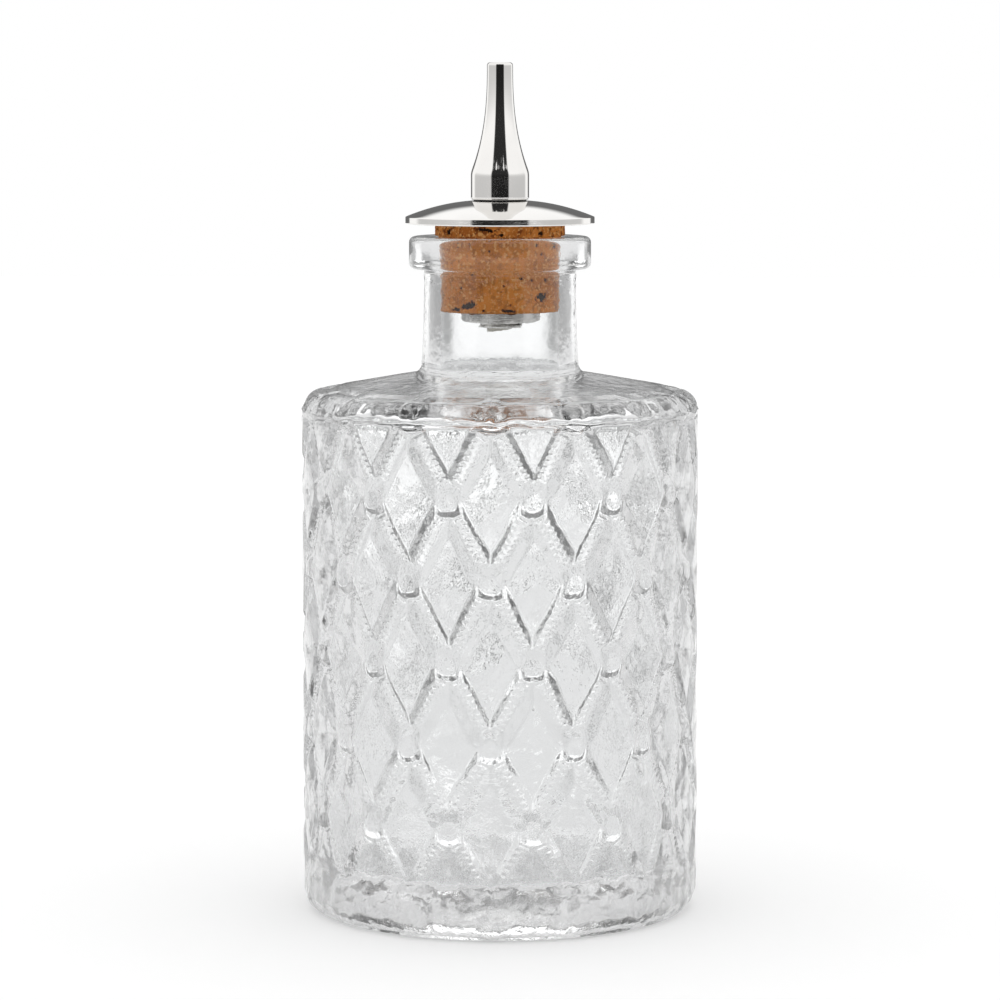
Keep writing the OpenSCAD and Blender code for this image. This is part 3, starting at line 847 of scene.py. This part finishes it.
def polished_metal():
    """Chrome with faint polishing marks and a gloss that varies a little."""
    colours = (CHROME_LOW, CHROME_HIGH)
    material, nodes, shader = clouded("polished_metal", 130, 3, colours, (0.3, 0.7), (0.02, 0.07))
    shader.inputs["Metallic"].default_value = 1
    add_bump(nodes, shader, noise(nodes, 900, 3, object_place(nodes), (1, 1, 6)), 0.04, 0.00004)
    return material


def plain_steel():
    """Zinc-plated steel with dull stains and fine machining marks."""
    colours = (STEEL_LOW, STEEL_HIGH)
    material, nodes, shader = clouded("plain_steel", 420, 4, colours, (0.35, 0.65), (0.1, 0.26))
    shader.inputs["Metallic"].default_value = 1
    add_bump(nodes, shader, noise(nodes, 1800, 2, object_place(nodes), (0.4, 0.4, 3)), 0.25, 0.00008)
    return material


def moulded(name, colours, roughness, strength):
    """Moulded plastic or rubber with a faint clouding and a fine matt grain."""
    material, nodes, shader = clouded(name, 500, 3, colours, (0.3, 0.7), roughness)
    add_bump(nodes, shader, noise(nodes, 3500, 2, object_place(nodes)), strength, 0.00005)
    return material


def make_camera():
    """The camera at the photograph's angle."""
    distance = CAMERA_PX / PX_PER_MM * MM
    turn, pitch = math.radians(CAMERA_TURN), math.radians(CAMERA_PITCH)
    reach = distance * math.cos(pitch)
    offset = Vector((reach * math.sin(turn), -reach * math.cos(turn), distance * math.sin(pitch)))
    data = bpy.data.cameras.new("camera")
    data.sensor_width = SENSOR_W
    data.lens = SENSOR_W * CAMERA_PX / PHOTO_PX
    data.clip_start = 0.01
    camera = bpy.data.objects.new("camera", data)
    camera.location = Vector((0, 0, AIM_Z * MM)) + offset
    camera.rotation_euler = (-offset).to_track_quat("-Z", "Y").to_euler()
    bpy.context.scene.collection.objects.link(camera)
    bpy.context.scene.camera = camera


def ray_of(nodes, *kinds):
    """A value that is 1 for rays of any of these kinds that have met no matt surface, and else 0."""
    ray = nodes.add("ShaderNodeLightPath")
    found = ray.outputs[kinds[0]]
    for kind in kinds[1:]:
        found = nodes.math("MAXIMUM", found, ray.outputs[kind])
    return times(nodes, found, nodes.math("LESS_THAN", ray.outputs["Diffuse Depth"], 0.5))


def facing_front(nodes, direction):
    """How far a level direction points to the front of the scene: 1 to the front and -1 behind."""
    turn = math.radians(CAMERA_TURN)
    return nodes.vector_math("DOT_PRODUCT", direction, (math.sin(turn), -math.cos(turn), 0))


def floor_material():
    """Grey card with a glow that only the camera, metal and glass see. What glass shows of it is
    bright close by and far behind, and darker at the far sides."""
    material = bpy.data.materials.new("floor")
    material.use_nodes = True
    nodes = Nodes(material.node_tree)
    place_in = object_place(nodes)
    distance = nodes.vector_math("LENGTH", place_in)
    front = facing_front(nodes, nodes.vector_math("NORMALIZE", place_in))
    behind = between(nodes, front, *FLOOR_BEHIND, 1, 0)
    in_glass = ray_of(nodes, "Is Transmission Ray")
    sides = times(nodes, between(nodes, distance, *FLOOR_SIDES), between(nodes, behind, 0, 1, 1, 0))
    side_grey = nodes.math("MULTIPLY_ADD", sides, FAR_SIDES - FLOOR_GREY, FLOOR_GREY)
    card = nodes.add("ShaderNodeBsdfDiffuse")
    nodes.link(blend_values(nodes, in_glass, FLOOR_GREY, side_grey), card.inputs["Color"])
    far_share = times(nodes, between(nodes, distance, *FLOOR_FAR), behind)
    glass_share = nodes.math("ADD", between(nodes, distance, *FLOOR_NEAR), far_share)
    seen = times(nodes, ray_of(nodes, "Is Camera Ray", "Is Glossy Ray", "Is Transmission Ray"), FLOOR_GLOW)
    glow = nodes.add("ShaderNodeEmission")
    glow.inputs["Color"].default_value = (1, 1, 1, 1)
    nodes.link(times(nodes, seen, blend_values(nodes, in_glass, 1, glass_share)), glow.inputs["Strength"])
    both = nodes.add("ShaderNodeAddShader")
    nodes.link(card.outputs[0], both.inputs[0])
    nodes.link(glow.outputs[0], both.inputs[1])
    nodes.link(both.outputs[0], nodes.add("ShaderNodeOutputMaterial").inputs[0])
    return material


def make_floor():
    """A pale floor that keeps the object's shadow and is white to the camera elsewhere."""
    reach = FLOOR_REACH / MM
    corners = [(x * reach, y * reach, 0) for x, y in ((-1, -1), (1, -1), (1, 1), (-1, 1))]
    floor = new_object("floor", corners, [(0, 1, 2, 3)])
    give(floor, floor_material())


def metal_surround(nodes, front, height, ragged):
    """What metal reflects: light grey sides, white behind and above, the dark gap round the camera
    and a dark line low down behind. front is 1 on the camera's side and -1 behind."""
    base = times(nodes, between(nodes, front, *METAL_BEHIND, METAL_WHITE, METAL_SIDES),
                 between(nodes, height, *METAL_RISE))
    base = nodes.math("MINIMUM", base, METAL_WHITE)
    gap = times(nodes, between(nodes, front, *GAP_FRONT),
                between(nodes, nodes.math("ADD", height, ragged), *GAP_TOP, 1, 0))
    line = times(nodes, between(nodes, front, *LINE_BEHIND, 1, 0), between(nodes, height, *LINE_TOP, 1, 0),
                 between(nodes, height, *LINE_FOOT))
    return less(nodes, less(nodes, base, gap, GAP_DARK), line, LINE_DARK)


def glass_surround(nodes, front, height):
    """What shows through the glass: white low down straight behind, light grey round that, dark
    over the backdrop's white, and darker on the camera's side."""
    base = times(nodes, between(nodes, front, *GLASS_BEHIND, GLASS_BACK, GLASS_SIDES),
                 between(nodes, front, *GLASS_FORWARD))
    lowered = nodes.math("ADD", height, between(nodes, front, *ABOVE_LOWER_SIDEWAYS))
    above = times(nodes, between(nodes, lowered, *ABOVE_FOOT), between(nodes, height, *ABOVE_TOP, 1, 0),
                  between(nodes, front, *ABOVE_BEHIND, 1, 0))
    camera_side = between(nodes, front, *CAMERA_SIDE)
    return less(nodes, less(nodes, base, above, ABOVE_DARK), camera_side, CAMERA_SIDE_DARK)


def background(nodes, colour):
    """Light from all round, in a colour that may be a link."""
    light = nodes.add("ShaderNodeBackground")
    nodes.put(colour, light.inputs["Color"])
    return light.outputs[0]


def make_world():
    """A white surround, with one of its own for metal and for what shows through glass."""
    world = bpy.data.worlds.new("studio")
    world.use_nodes = True
    bpy.context.scene.world = world
    nodes = Nodes(world.node_tree)
    direction = nodes.add("ShaderNodeTexCoord").outputs["Generated"]
    height = height_of(nodes, direction)
    level = nodes.vector_math("NORMALIZE", nodes.vector_math("MULTIPLY", direction, (1, 1, 0)))
    front = facing_front(nodes, level)
    ragged = between(nodes, noise(nodes, 9, 3, direction), 0.3, 0.7, -GAP_RAGGED, GAP_RAGGED)
    light = background(nodes, (1, 1, 1, 1))
    for shade, kind in ((metal_surround(nodes, front, height, ragged), "Is Glossy Ray"),
                        (glass_surround(nodes, front, height), "Is Transmission Ray")):
        mix = nodes.add("ShaderNodeMixShader")
        nodes.link(ray_of(nodes, kind), mix.inputs[0])
        nodes.link(light, mix.inputs[1])
        nodes.link(background(nodes, shade), mix.inputs[2])
        light = mix.outputs[0]
    nodes.link(light, nodes.add("ShaderNodeOutputWorld").inputs[0])


def make_studio():
    """Camera, floor, surround and enough light bounces for thick glass."""
    make_camera()
    make_floor()
    make_world()
    scene = bpy.context.scene
    scene.view_settings.view_transform = "Standard"
    scene.cycles.max_bounces = 32
    scene.cycles.transmission_bounces = 32
    scene.cycles.glossy_bounces = 12


def main():
    """The studio and the eight pieces with their materials."""
    make_studio()
    give(make_bottle(), clear_glass())
    give(make_cork(), natural_cork())
    chrome, steel = polished_metal(), plain_steel()
    give(make_cap(), chrome)
    give(make_spout(), chrome)
    give(make_stem(), steel)
    give(make_nut(), steel)
    give(make_seal(), moulded("black_seal", (RUBBER_LOW, RUBBER_HIGH), (0.42, 0.58), 0.2))
    give(make_insert(), moulded("pale_plastic", (PLASTIC_LOW, PLASTIC_HIGH), (0.34, 0.5), 0.1))


main()
